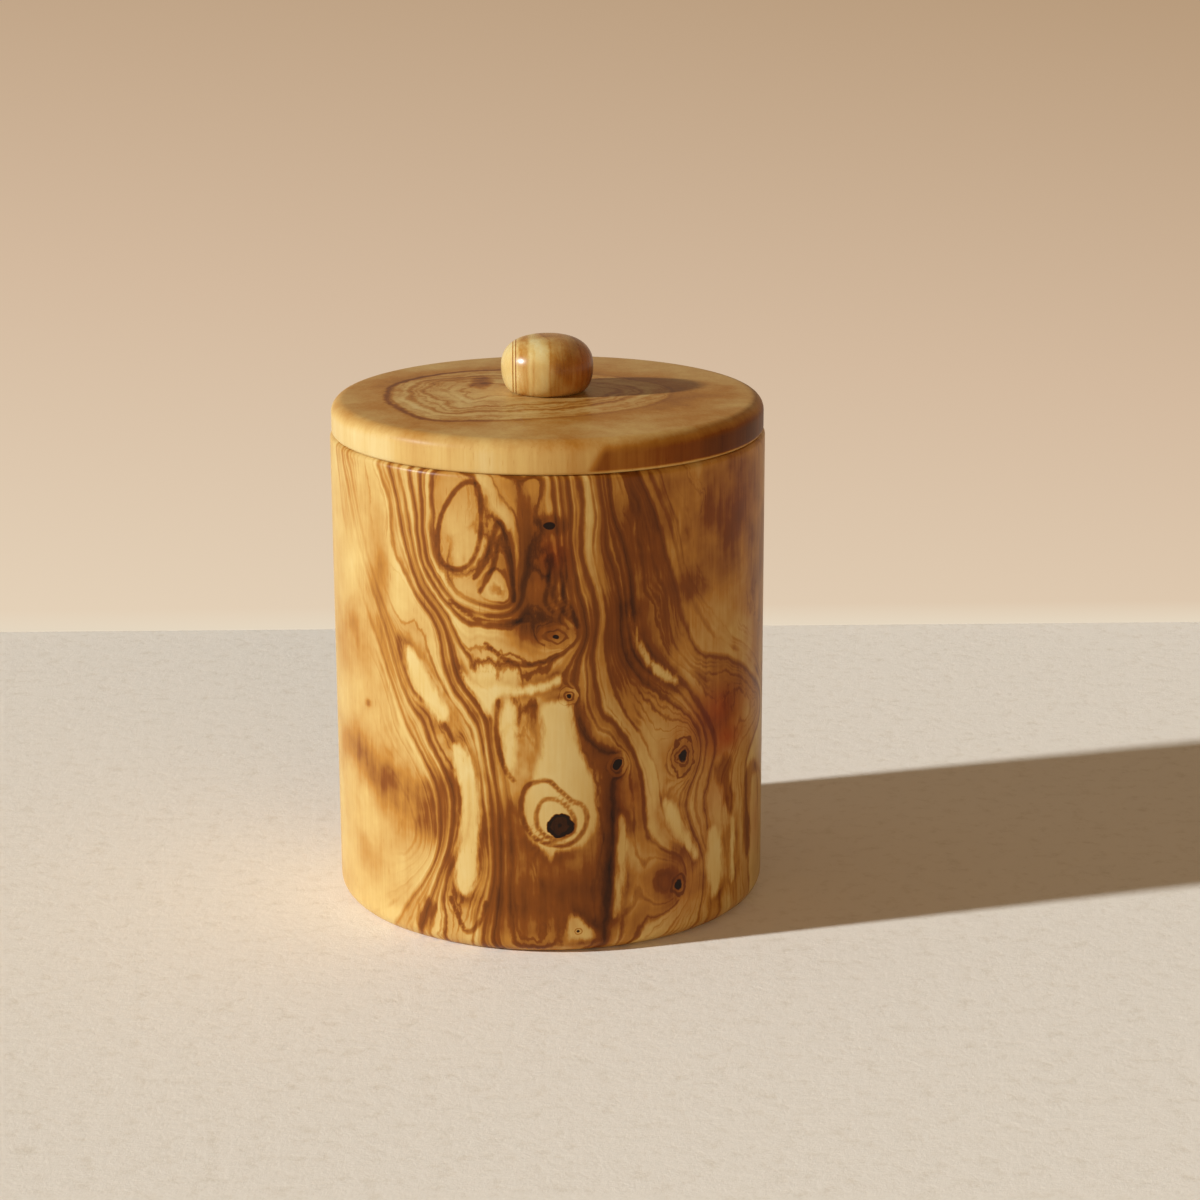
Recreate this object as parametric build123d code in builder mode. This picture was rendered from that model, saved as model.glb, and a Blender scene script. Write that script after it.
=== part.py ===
from build123d import *
import os
from math import radians, tan

# Turned olive wood spice jar: a hollow jar, a lid with a spigot, a knob, its screw and a seal ring.
# Millimetres. +Z is up along the turning axis, and the origin is the middle of the base.
# Every piece but the recess in the screw's head is a body of revolution about Z.

# Jar body
jar_radius = 42.5
jar_height = 93.6
wall = 6.5
floor_thickness = 8.0
inside_corner = 5.0
foot_round = 3.2
foot_width = 8.0
recess_depth = 0.8
rim_round = 1.0
mouth_chamfer = 0.6

# Lid: the disc that shows, and the spigot below it that drops into the mouth
lid_inset = 0.3
lid_edge_height = 6.5
lid_crown = 0.8
lid_top_round = 2.6
lid_under_round = 0.7
spigot_height = 7.0
spigot_clearance = 0.6
spigot_chamfer = 0.8

# Seal ring: a soft band with fins, in a groove halfway down the spigot
ring_width = 3.4
ring_band = 0.8
ring_proud = 0.35
fin_count = 2
fin_thickness = 0.8
fin_length = 0.9
fin_round = 0.32
groove_clearance = 0.15

# Knob
knob_radius = 9.0
knob_height = 11.0
knob_seat_radius = 6.2
knob_widest_height = 5.2
knob_top_radius = 2.6
knob_crown = 0.4
knob_crown_drop = 0.1
knob_fullness = 0.62

# Countersunk wood screw, driven up through the lid into the knob
screw_radius = 1.75
screw_core_radius = 1.2
screw_bite = 7.5
screw_pitch = 1.3
screw_tip = 2.0
screw_head_radius = 3.5
screw_head_angle = 90.0
screw_sink = 0.3
screw_hole_clearance = 0.1
driver_length = 3.6
driver_slot = 0.8
driver_depth = 1.3
driver_taper = 6.0

# Heights and radii that the pieces share
mouth_radius = jar_radius - wall
recess_radius = jar_radius - foot_round - foot_width
lid_radius = jar_radius - lid_inset
spigot_radius = mouth_radius - spigot_clearance
spigot_bottom = jar_height - spigot_height
lid_edge_top = jar_height + lid_edge_height
lid_top = lid_edge_top + lid_crown
ring_middle = jar_height - spigot_height / 2
ring_outer = spigot_radius + ring_proud
ring_inner = ring_outer - fin_length - ring_band
knob_top = lid_top + knob_height
knob_widest = lid_top + knob_widest_height
screw_bottom = spigot_bottom + screw_sink
screw_head_top = screw_bottom + (screw_head_radius - screw_radius) / tan(radians(screw_head_angle / 2))
screw_top = lid_top + screw_bite


# Jar body: a cylinder of solid wood, hollowed from the top, with a shallow recess inside its foot
with BuildPart() as jar_body:
    with BuildSketch(Plane.XZ) as blank_section:
        Rectangle(jar_radius, jar_height, align=(Align.MIN, Align.MIN))
        outer_corners = blank_section.vertices().group_by(Axis.X)[-1].sort_by(Axis.Y)
        fillet(outer_corners[0], foot_round)
        fillet(outer_corners[-1], rim_round)
    revolve(axis=Axis.Z)
    with BuildSketch(Plane.XY.offset(floor_thickness)):
        Circle(mouth_radius)
    extrude(amount=jar_height - floor_thickness, mode=Mode.SUBTRACT)
    hollow_edges = jar_body.edges(Select.LAST).filter_by(GeomType.CIRCLE).sort_by(Axis.Z)
    fillet(hollow_edges[0], inside_corner)
    mouth_edges = jar_body.edges().filter_by(GeomType.CIRCLE).group_by(Axis.Z)[-1]
    chamfer(mouth_edges.sort_by(SortBy.RADIUS)[0], mouth_chamfer)
    with BuildSketch():
        Circle(recess_radius)
    extrude(amount=recess_depth, mode=Mode.SUBTRACT)


# Knob screw: head, shank, thread ridges and tip, with a cross recess under its head
with BuildPart() as knob_screw:
    with BuildSketch(Plane.XZ):
        with BuildLine():
            Line((0, screw_bottom), (screw_head_radius, screw_bottom))
            Line((screw_head_radius, screw_bottom), (screw_radius, screw_head_top))
            Line((screw_radius, screw_head_top), (screw_radius, lid_top))
            thread_foot = lid_top
            ridge_count = int((screw_bite - screw_tip) / screw_pitch)
            for ridge in range(ridge_count):
                Line((screw_radius, thread_foot), (screw_core_radius, thread_foot + screw_pitch / 2))
                Line(
                    (screw_core_radius, thread_foot + screw_pitch / 2),
                    (screw_radius, thread_foot + screw_pitch),
                )
                thread_foot += screw_pitch
            Line((screw_radius, thread_foot), (0, screw_top))
            Line((0, screw_top), (0, screw_bottom))
        make_face()
    revolve(axis=Axis.Z)
    with BuildSketch(Plane.XY.offset(screw_bottom)):
        Rectangle(driver_length, driver_slot)
        Rectangle(driver_slot, driver_length)
    extrude(amount=driver_depth, taper=driver_taper, mode=Mode.SUBTRACT)


# Knob: a flattened ball that stands on its flat seat, its hole cut by the screw's own thread
with BuildPart() as knob:
    with BuildSketch(Plane.XZ):
        with BuildLine():
            Line((0, lid_top), (knob_seat_radius, lid_top))
            Bezier(
                (knob_seat_radius, lid_top),
                (knob_seat_radius + knob_fullness * (knob_radius - knob_seat_radius), lid_top),
                (knob_radius, knob_widest - knob_fullness * knob_widest_height),
                (knob_radius, knob_widest),
            )
            shoulder = knob_top - knob_crown
            crown_edge = knob_top - knob_crown_drop
            Bezier(
                (knob_radius, knob_widest),
                (knob_radius, knob_widest + knob_fullness * (shoulder - knob_widest)),
                (knob_top_radius + knob_fullness * (knob_radius - knob_top_radius), shoulder),
                (knob_top_radius, crown_edge),
            )
            Line((knob_top_radius, crown_edge), (0, knob_top))
            Line((0, knob_top), (0, lid_top))
        make_face()
    revolve(axis=Axis.Z)
    add(knob_screw.part, mode=Mode.SUBTRACT)


# Lid: a crowned disc over a spigot with a groove, and a countersunk hole from below
with BuildPart() as lid:
    with BuildSketch(Plane.XZ) as disc_section:
        with BuildLine():
            Line((0, jar_height), (lid_radius, jar_height))
            Line((lid_radius, jar_height), (lid_radius, lid_edge_top))
            TangentArc((knob_seat_radius, lid_top), (lid_radius, lid_edge_top), tangent=(1, 0))
            Line((knob_seat_radius, lid_top), (0, lid_top))
            Line((0, lid_top), (0, jar_height))
        make_face()
        rim_corners = disc_section.vertices().group_by(Axis.X)[-1].sort_by(Axis.Y)
        fillet(rim_corners[-1], lid_top_round)
        fillet(rim_corners[0], lid_under_round)
    revolve(axis=Axis.Z)
    with BuildSketch(Plane.XY.offset(jar_height)):
        Circle(spigot_radius)
    extrude(amount=-spigot_height)
    chamfer(lid.edges(Select.LAST).sort_by(Axis.Z)[0], spigot_chamfer)
    with BuildSketch(Plane.XZ):
        with Locations((ring_inner - groove_clearance, ring_middle)):
            Rectangle(
                spigot_radius,
                ring_width + 2 * groove_clearance,
                align=(Align.MIN, Align.CENTER),
            )
    revolve(axis=Axis.Z, mode=Mode.SUBTRACT)
    with Locations(Plane((0, 0, screw_bottom), z_dir=(0, 0, -1))):
        CounterSinkHole(
            screw_radius + screw_hole_clearance,
            screw_head_radius,
            counter_sink_angle=screw_head_angle,
        )


# Seal ring: the band that sits in the groove, with fins that reach for the wall of the mouth
with BuildPart() as seal_ring:
    with BuildSketch(Plane.XZ) as ring_section:
        with Locations((ring_inner, ring_middle)):
            Rectangle(ring_band, ring_width, align=(Align.MIN, Align.CENTER))
        fin_spacing = (ring_width - fin_thickness) / (fin_count - 1)
        with Locations((ring_inner + ring_band, ring_middle)):
            with GridLocations(0, fin_spacing, 1, fin_count):
                Rectangle(fin_length, fin_thickness, align=(Align.MIN, Align.CENTER))
        fillet(ring_section.vertices().group_by(Axis.X)[-1], fin_round)
    revolve(axis=Axis.Z)


os.makedirs("parts", exist_ok=True)
pieces = {
    "jar_body": jar_body,
    "lid": lid,
    "knob": knob,
    "knob_screw": knob_screw,
    "seal_ring": seal_ring,
}
for name, piece in pieces.items():
    piece.part.label = name
    export_step(piece.part, f"parts/{name}.step")
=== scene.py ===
"""Looks of a turned olive wood spice jar: jar, lid, knob, the knob's screw and the seal ring.

Everything is in metres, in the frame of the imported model. Sizes written in millimetres carry mm.
"""

import math

import bmesh
import bpy
import numpy as np
from mathutils import Matrix, Vector


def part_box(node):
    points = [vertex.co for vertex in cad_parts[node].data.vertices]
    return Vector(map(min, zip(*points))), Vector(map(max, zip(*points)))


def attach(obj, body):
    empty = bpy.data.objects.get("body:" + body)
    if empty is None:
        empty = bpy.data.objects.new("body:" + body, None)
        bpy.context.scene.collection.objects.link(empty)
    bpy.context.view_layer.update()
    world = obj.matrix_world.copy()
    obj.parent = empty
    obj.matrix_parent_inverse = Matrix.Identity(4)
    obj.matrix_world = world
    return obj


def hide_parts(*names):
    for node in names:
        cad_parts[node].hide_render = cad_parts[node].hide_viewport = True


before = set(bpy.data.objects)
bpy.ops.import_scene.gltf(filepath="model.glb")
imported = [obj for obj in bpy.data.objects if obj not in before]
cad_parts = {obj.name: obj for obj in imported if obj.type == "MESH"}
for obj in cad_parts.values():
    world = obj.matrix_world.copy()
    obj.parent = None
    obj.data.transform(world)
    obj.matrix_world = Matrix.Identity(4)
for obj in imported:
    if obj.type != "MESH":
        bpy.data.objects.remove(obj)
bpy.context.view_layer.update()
mm = 0.001


# Camera: a 91 mm lens just over half a metre in front of the jar.
# It looks down on the jar by 15.5 degrees.
camera_place = Vector((0, -0.5845, 0.2205))
camera_pitch = 0.2705
camera_yaw = 0.0173
camera_roll = -0.0037
camera_lens = 91.47

camera_data = bpy.data.cameras.new("camera")
camera_data.lens = camera_lens
camera_data.sensor_width = 36
camera_data.clip_start = 0.01
camera = bpy.data.objects.new("camera", camera_data)
bpy.context.scene.collection.objects.link(camera)
level_turn = Matrix.Rotation(-camera_yaw, 4, "Z")
tip_down = Matrix.Rotation(math.pi / 2 - camera_pitch, 4, "X")
roll_turn = Matrix.Rotation(camera_roll, 4, "Z")
camera.matrix_world = Matrix.Translation(camera_place) @ level_turn @ tip_down @ roll_turn
bpy.context.scene.camera = camera


# Studio: a pale, finely speckled floor that meets a warm backdrop close behind the jar, which glows
# with painted light.
# A low sun on the left gives the light and the long shadows.
# A soft box in front and a warm sky fill them.
def srgb(code):
    """The linear colour of a written sRGB code such as #E3BE7C."""
    parts = [int(code[at : at + 2], 16) / 255 for at in (1, 3, 5)]
    lit = [part / 12.92 if part < 0.04045 else ((part + 0.055) / 1.055) ** 2.4 for part in parts]
    return (*lit, 1)


def new_material(name):
    """A material with a bare Principled shader: its tree and that shader."""
    material = bpy.data.materials.new(name)
    material.use_nodes = True
    return material, material.node_tree, material.node_tree.nodes["Principled BSDF"]


def feed(tree, node, links):
    """Feeds a node's inputs, each from a socket or with a plain value."""
    for name, source in links.items():
        if isinstance(source, bpy.types.NodeSocket):
            tree.links.new(source, node.inputs[name])
        else:
            node.inputs[name].default_value = source


def add_node(tree, kind, links=None, **settings):
    """A node in the tree, with settings for its properties and links for its inputs."""
    node = tree.nodes.new(kind)
    for name, value in settings.items():
        setattr(node, name, value)
    feed(tree, node, links or {})
    return node


def calc(tree, operation, *values, clamp=False):
    """The result of one sum in a node tree, of sockets and plain numbers."""
    links = dict(enumerate(values))
    return add_node(tree, "ShaderNodeMath", links, operation=operation, use_clamp=clamp).outputs[0]


def times(tree, first, second):
    """The product of two sockets or plain numbers."""
    return calc(tree, "MULTIPLY", first, second)


def paint_ramp(tree, value, shades):
    """The colour for a value, from shades that are each a place on the ramp and an sRGB code."""
    ramp = add_node(tree, "ShaderNodeValToRGB", {"Fac": value})
    stops = ramp.color_ramp.elements
    for count, (at, code) in enumerate(shades):
        stop = stops[count] if count < 2 else stops.new(at)
        stop.position = at
        stop.color = srgb(code)
    return ramp.outputs[0]


def relief(tree, height, strength, depth):
    """The normal of a fine relief, with its depth in metres."""
    links = {"Height": height, "Strength": strength, "Distance": depth}
    return add_node(tree, "ShaderNodeBump", links).outputs[0]


floor_half_width = 3.0
floor_front = -2.0
backdrop_place = 0.184
backdrop_height = 3.0


def make_sheet(name, corners, material):
    """A flat sheet of the studio that isn't part of the jar."""
    mesh = bpy.data.meshes.new(name)
    mesh.from_pydata(corners, [], [range(len(corners))])
    mesh.materials.append(material)
    sheet = bpy.data.objects.new(name, mesh)
    bpy.context.scene.collection.objects.link(sheet)


floor_material, tree, shader = new_material("pale_floor")
place = add_node(tree, "ShaderNodeTexCoord").outputs["Object"]
speckle_look = {"Vector": place, "Scale": 260.0, "Detail": 8.0, "Roughness": 0.75}
speckle = add_node(tree, "ShaderNodeTexNoise", speckle_look).outputs[0]
feed(
    tree,
    shader,
    {
        "Base Color": paint_ramp(tree, speckle, [(0.25, "#E9D9C1"), (0.48, "#FBEEDB")]),
        "Roughness": 0.85,
        "Specular IOR Level": 0.1,
        "Normal": relief(tree, speckle, 0.3, 0.5 * mm),
    },
)


def clear_from_behind(tree, seen):
    """Lets the camera look through the back of a sheet, so that every side of the jar shows."""
    clear = add_node(tree, "ShaderNodeBsdfTransparent")
    back = add_node(tree, "ShaderNodeNewGeometry").outputs["Backfacing"]
    sided = add_node(tree, "ShaderNodeMixShader", {0: back, 1: seen, 2: clear.outputs[0]})
    tree.links.new(sided.outputs[0], tree.nodes["Material Output"].inputs["Surface"])


clear_from_behind(tree, shader.outputs[0])


def make_backdrop_material():
    """A warm wall that glows with painted light for the camera and glosses, darker upwards and to
    the right; diffuse rays see it as a darker plain wall.
    """
    material, tree, shader = new_material("backdrop_painted_light")
    feed(tree, shader, {"Base Color": srgb("#8A7763"), "Roughness": 1.0})
    place = add_node(tree, "ShaderNodeTexCoord").outputs["Object"]
    flat = add_node(tree, "ShaderNodeSeparateXYZ", {0: place}).outputs
    # Painted light: the glow's colour is darker upwards and to the right, and blends into a paler
    # colour at the foot of the wall.
    lean = calc(tree, "MULTIPLY_ADD", flat["X"], 0.12, flat["Z"])
    fall = {"Value": lean, "From Min": -0.02, "From Max": 0.18}
    height = add_node(tree, "ShaderNodeMapRange", fall).outputs[0]
    wall = paint_ramp(tree, height, [(0.0, "#E6D3BA"), (0.5, "#D4BA9F"), (1.0, "#B99C7D")])
    rise = {"Value": flat["Z"], "From Min": 0.0, "From Max": 6 * mm, "To Min": 1.0, "To Max": 0.0}
    foot = add_node(tree, "ShaderNodeMapRange", rise).outputs[0]
    painted = add_node(
        tree, "ShaderNodeMix", {0: foot, 6: wall, 7: srgb("#E6D7C0")}, data_type="RGBA"
    )
    # Painted light: the wall glows for camera, glossy and transmission rays, though it is no lamp.
    glow = add_node(tree, "ShaderNodeEmission", {"Color": painted.outputs[2], "Strength": 1.0})
    ray = add_node(tree, "ShaderNodeLightPath").outputs
    seen = calc(tree, "MAXIMUM", ray["Is Camera Ray"], ray["Is Glossy Ray"])
    seen = calc(tree, "MAXIMUM", seen, ray["Is Transmission Ray"])
    sides = {0: seen, 1: shader.outputs[0], 2: glow.outputs[0]}
    mixed = add_node(tree, "ShaderNodeMixShader", sides)
    clear_from_behind(tree, mixed.outputs[0])
    return material


floor_line = [(-floor_half_width, floor_front, 0), (floor_half_width, floor_front, 0)]
wall_foot = [(-floor_half_width, backdrop_place, 0), (floor_half_width, backdrop_place, 0)]
wall_head = [(across, back, backdrop_height) for across, back, up in wall_foot]
make_sheet("floor", floor_line + wall_foot[::-1], floor_material)
make_sheet("backdrop", wall_foot + wall_head[::-1], make_backdrop_material())

lamp_aim = Vector((0, 0, 0.06))


def make_lamp(name, direction, distance, size, power, colour):
    """A round area lamp that shines at the middle of the jar from a direction."""
    lamp = bpy.data.objects.new(name, bpy.data.lights.new(name, "AREA"))
    lamp.data.shape = "DISK"
    lamp.data.size = size
    lamp.data.energy = power
    lamp.data.color = colour
    toward = Vector(direction).normalized()
    lamp.location = toward * distance + lamp_aim
    lamp.rotation_euler = toward.to_track_quat("Z", "Y").to_euler()
    bpy.context.scene.collection.objects.link(lamp)
    return lamp


soft_box = make_lamp("soft_box", (2, -9, 1.8), 1.15, 0.9, 3.6, (1.0, 0.80, 0.55))
soft_box.visible_glossy = False

low_sun = bpy.data.objects.new("low_sun", bpy.data.lights.new("low_sun", "SUN"))
low_sun.data.energy = 4.15
low_sun.data.angle = math.radians(2.5)
low_sun.data.color = (0.95, 1.05, 1.15)
low_sun.rotation_euler = Vector((-26, -7, 11)).to_track_quat("Z", "Y").to_euler()
bpy.context.scene.collection.objects.link(low_sun)

world = bpy.data.worlds.new("sky")
world.use_nodes = True
sky = world.node_tree.nodes["Background"]
feed(world.node_tree, sky, {"Color": (1.0, 0.76, 0.48, 1), "Strength": 0.145})
bpy.context.scene.world = world


# Jar body: one piece of olive wood, turned and hollowed on a lathe, then sanded and oiled.
# Its rim, foot and inside corner are rounded by hand sanding; the foot stands on a flat ring.
jar_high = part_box("jar_body")[1]
jar_radius = jar_high.x
jar_height = jar_high.z
jar_wall = 6.5 * mm
jar_floor = 8 * mm
inside_corner = 5 * mm
foot_round = 3.2 * mm
foot_width = 8 * mm
foot_recess = 0.8 * mm
rim_round = 1.0 * mm
mouth_round = 0.6 * mm
round_turns = 416
hidden_spacing = 2.4 * mm
wall_spacing = 0.65 * mm


def arc(centre, radius, start, end, steps=8):
    """Points of an arc in a turned profile, as (radius, height), with its angles in degrees."""
    angles = [math.radians(start + (end - start) * step / steps) for step in range(steps + 1)]
    return [(centre[0] + radius * math.cos(a), centre[1] + radius * math.sin(a)) for a in angles]


def fill_in(corners, spacing):
    """The same profile with more points, no further apart than the spacing."""
    points = [corners[0]]
    for (r0, z0), (r1, z1) in zip(corners, corners[1:]):
        count = max(1, math.ceil(math.hypot(r1 - r0, z1 - z0) / spacing))
        for step in range(1, count + 1):
            points.append((r0 + (r1 - r0) * step / count, z0 + (z1 - z0) * step / count))
    return points


def make_lathe_tree():
    """Geometry Nodes that turn a profile about Z: a ring of corners for each of its points."""
    tree = bpy.data.node_groups.new("lathe", "GeometryNodeTree")
    titles = ("Profile", "Turns", "Seam Tolerance", "Material")
    for title, kind in zip(titles, ("Geometry", "Int", "Float", "Material")):
        tree.interface.new_socket(title, in_out="INPUT", socket_type=f"NodeSocket{kind}")
    tree.interface.new_socket("Turned", in_out="OUTPUT", socket_type="NodeSocketGeometry")
    given = tree.nodes.new("NodeGroupInput").outputs
    count = add_node(tree, "GeometryNodeAttributeDomainSize", {"Geometry": given["Profile"]})
    rings = count.outputs["Point Count"]
    columns = calc(tree, "ADD", given["Turns"], 1.0)
    size = {"Size X": 1.0, "Size Y": 1.0, "Vertices X": columns, "Vertices Y": rings}
    grid = add_node(tree, "GeometryNodeMeshGrid", size).outputs["Mesh"]
    position = add_node(tree, "GeometryNodeInputPosition").outputs[0]
    flat = add_node(tree, "ShaderNodeSeparateXYZ", {0: position}).outputs
    angle = times(tree, flat["X"], 2 * math.pi)
    up = calc(tree, "ADD", flat["Y"], 0.5)
    ring = calc(tree, "ROUND", times(tree, up, calc(tree, "SUBTRACT", rings, 1.0)))
    picked = {"Geometry": given["Profile"], "Value": position, "Index": ring}
    spot = add_node(tree, "GeometryNodeSampleIndex", picked, data_type="FLOAT_VECTOR").outputs[0]
    turning = {"Vector": spot, "Angle": angle}
    turned = add_node(tree, "ShaderNodeVectorRotate", turning, rotation_type="Z_AXIS").outputs[0]
    shape = add_node(tree, "GeometryNodeSetPosition", {"Geometry": grid, "Position": turned})
    steps = [
        ("GeometryNodeMergeByDistance", {"Distance": given["Seam Tolerance"]}),
        ("GeometryNodeSetShadeSmooth", {"Shade Smooth": True}),
        ("GeometryNodeRealizeInstances", {}),
        ("GeometryNodeSetMaterial", {"Material": given["Material"]}),
    ]
    for kind, links in steps:
        shape = add_node(tree, kind, {"Geometry": shape.outputs[0], **links})
    add_node(tree, "NodeGroupOutput", {"Turned": shape.outputs[0]})
    return tree


lathe = make_lathe_tree()
seam_tolerance = 2e-6


def turn_piece(name, profile, turns, material):
    """A closed turned mesh from a profile of (radius, height) points, with its faces outwards."""
    mesh = bpy.data.meshes.new(name)
    edges = [(first, first + 1) for first in range(len(profile) - 1)]
    mesh.from_pydata([(0, -radius, height) for radius, height in profile], edges, [])
    blank = bpy.data.objects.new(name, mesh)
    bpy.context.scene.collection.objects.link(blank)
    modifier = blank.modifiers.new("lathe", "NODES")
    modifier.node_group = lathe
    inputs = {"Turns": turns, "Seam Tolerance": seam_tolerance, "Material": material}
    for item in lathe.interface.items_tree:
        if item.in_out == "INPUT" and item.name in inputs:
            modifier[item.identifier] = inputs[item.name]
    depsgraph = bpy.context.evaluated_depsgraph_get()
    turned = bpy.data.meshes.new_from_object(blank.evaluated_get(depsgraph))
    blank.modifiers.remove(modifier)
    blank.data = turned
    work = bmesh.new()
    work.from_mesh(turned)
    bmesh.ops.recalc_face_normals(work, faces=work.faces)
    if work.calc_volume(signed=True) < 0:
        bmesh.ops.reverse_faces(work, faces=work.faces)
    work.to_mesh(turned)
    work.free()
    turned.name = name
    return blank


mouth_radius = jar_radius - jar_wall
recess_radius = jar_radius - foot_round - foot_width
jar_underside = [(0, foot_recess), (recess_radius, foot_recess), (recess_radius, 0)]
jar_outside = arc((jar_radius - foot_round, foot_round), foot_round, -90, 0)
jar_outside += arc((jar_radius - rim_round, jar_height - rim_round), rim_round, 0, 90, 5)
jar_inside = arc((mouth_radius + mouth_round, jar_height - mouth_round), mouth_round, 90, 180, 4)
jar_inside += arc((mouth_radius - inside_corner, jar_floor + inside_corner), inside_corner, 0, -90)
jar_inside += [(0, jar_floor)]
jar_profile = fill_in(jar_underside, hidden_spacing)
jar_profile += fill_in(jar_outside, wall_spacing)
jar_profile += fill_in(jar_inside, hidden_spacing)


def noise(tree, where, scale, detail=2.0, roughness=0.5):
    """Smooth noise from -0.5 to 0.5, at a scale in waves per unit of the coordinates."""
    look = {"Vector": where, "Scale": scale, "Detail": detail, "Roughness": roughness}
    return calc(tree, "SUBTRACT", add_node(tree, "ShaderNodeTexNoise", look).outputs[0], 0.5)


def ease(tree, value, low, high, to_low=0.0, to_high=1.0):
    """A soft step: to_low below low, to_high above high."""
    span = {"Value": value, "From Min": low, "From Max": high, "To Min": to_low, "To Max": to_high}
    step = add_node(tree, "ShaderNodeMapRange", span, interpolation_type="SMOOTHSTEP")
    return step.outputs[0]


def add_parts(tree, total, parts):
    """A total with parts added to it, each times its weight."""
    for part, weight in parts:
        total = calc(tree, "MULTIPLY_ADD", part, weight, total)
    return total


def start_group(name, inputs, outputs):
    """A shader group with its inputs and outputs: the tree, its given sockets and its end."""
    tree = bpy.data.node_groups.new(name, "ShaderNodeTree")
    for title, kind, value in inputs:
        socket = tree.interface.new_socket(title, in_out="INPUT", socket_type=kind)
        if value is not None:
            socket.default_value = value
    for title, kind in outputs:
        tree.interface.new_socket(title, in_out="OUTPUT", socket_type=kind)
    return tree, tree.nodes.new("NodeGroupInput").outputs, tree.nodes.new("NodeGroupOutput")


number, arrow, paint = "NodeSocketFloat", "NodeSocketVector", "NodeSocketColor"

# The three kinds of growth lines: lines per level, width, share left out and strength
line_kinds = [(1.0, 1.4, 0.0, 1.0), (2.37, 0.85, 0.42, 0.75), (5.3, 0.6, 0.62, 0.55)]


def throw_dice(tree, count):
    """A value from 0 to 1 that differs by chance from one whole count to the next."""
    dice = add_node(tree, "ShaderNodeTexWhiteNoise", {"W": count}, noise_dimensions="1D")
    return dice.outputs["Value"]


def noise_along(tree, level, scale):
    """Smooth noise from 0 to 1 that changes along a level only."""
    look = {"W": level, "Scale": scale, "Detail": 1.0}
    return add_node(tree, "ShaderNodeTexNoise", look, noise_dimensions="1D").outputs[0]


def make_growth_lines():
    """Dark growth lines and soft bands from a level that rises by one from line to line."""
    tree, given, end = start_group(
        "growth_lines",
        [
            ("Where", arrow, None),
            ("Growth", number, 0.0),
            ("Line Gap", number, 2.5),
            ("Wander", number, 0.55),
            ("Line Width", number, 0.32),
        ],
        [("Lines", number), ("Bands", number)],
    )
    slow = noise(tree, given["Where"], 0.10, 1.0)
    quick = noise(tree, given["Where"], 0.42, 4.0, 0.55)
    drift = calc(tree, "ADD", slow, times(tree, quick, 0.8))
    level = calc(tree, "MULTIPLY_ADD", drift, given["Wander"], given["Growth"])
    swell = noise(tree, given["Where"], 0.16, 2.0)
    lines = None
    for per_level, width, left_out, strength in line_kinds:
        count = times(tree, level, per_level)
        away = calc(tree, "PINGPONG", count, 0.5)
        gap = calc(tree, "DIVIDE", given["Line Gap"], per_level)
        off = times(tree, away, gap)
        luck = throw_dice(tree, calc(tree, "ROUND", count))
        luck = calc(tree, "MULTIPLY_ADD", swell, 1.5, luck)
        present = ease(tree, luck, left_out, left_out + 0.45)
        thick = calc(tree, "MULTIPLY_ADD", present, 0.6 * width, 0.4 * width)
        thick = times(tree, given["Line Width"], thick)
        share = calc(tree, "DIVIDE", off, thick)
        shape = ease(tree, share, 0.2, 2.1, 1.0, 0.0)
        line = times(tree, shape, times(tree, present, strength))
        lines = line if lines is None else calc(tree, "MAXIMUM", lines, line)
    coarse = calc(tree, "SUBTRACT", noise_along(tree, level, 0.75), 0.48)
    fine = calc(tree, "SUBTRACT", noise_along(tree, level, 2.6), 0.5)
    band = calc(tree, "MULTIPLY_ADD", fine, 1.3, times(tree, coarse, 2.6))
    luck = throw_dice(tree, calc(tree, "FLOOR", level))
    luck = calc(tree, "MULTIPLY_ADD", swell, 1.2, luck, clamp=True)
    fade = calc(tree, "POWER", calc(tree, "SUBTRACT", 1.0, calc(tree, "FRACT", level)), 2.2)
    band = calc(tree, "MULTIPLY_ADD", times(tree, fade, luck), 1.1, band)
    feed(tree, end, {"Lines": lines, "Bands": band})
    return tree


def make_knot():
    """Rings and a dark core about the place where a small branch came through the wall."""
    tree, given, end = start_group(
        "knot",
        [
            ("Where", arrow, None),
            ("Across", number, 0.0),
            ("Up", number, 0.0),
            ("Centre Across", number, 0.0),
            ("Centre Up", number, 0.0),
            ("Half Width", number, 3.0),
            ("Half Height", number, 3.0),
            ("Core", number, 0.3),
            ("Rings", number, 3.0),
        ],
        [("Rings", number), ("Core", number), ("Inside", number)],
    )
    right = calc(tree, "SUBTRACT", given["Across"], given["Centre Across"])
    right = calc(tree, "DIVIDE", right, given["Half Width"])
    up = calc(tree, "SUBTRACT", given["Up"], given["Centre Up"])
    up = calc(tree, "DIVIDE", up, given["Half Height"])
    reach = calc(tree, "MULTIPLY_ADD", right, right, times(tree, up, up))
    reach = calc(tree, "SQRT", reach)
    ragged = noise(tree, given["Where"], 0.45, 2.0, 0.5)
    reach = calc(tree, "MULTIPLY_ADD", ragged, 0.9, reach)
    count = times(tree, reach, given["Rings"])
    away = calc(tree, "PINGPONG", count, 0.5)
    rings = ease(tree, away, 0.06, 0.26, 1.0, 0.0)
    swell = ease(tree, noise(tree, given["Where"], 0.35, 2.0), -0.25, 0.2, 0.35, 1.0)
    inside = ease(tree, reach, 0.95, 1.2, 1.0, 0.0)
    rings = times(tree, times(tree, rings, swell), inside)
    core = ease(tree, calc(tree, "SUBTRACT", reach, given["Core"]), -0.08, 0.1, 1.0, 0.0)
    feed(tree, end, {"Rings": rings, "Core": core, "Inside": inside})
    return tree


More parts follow.
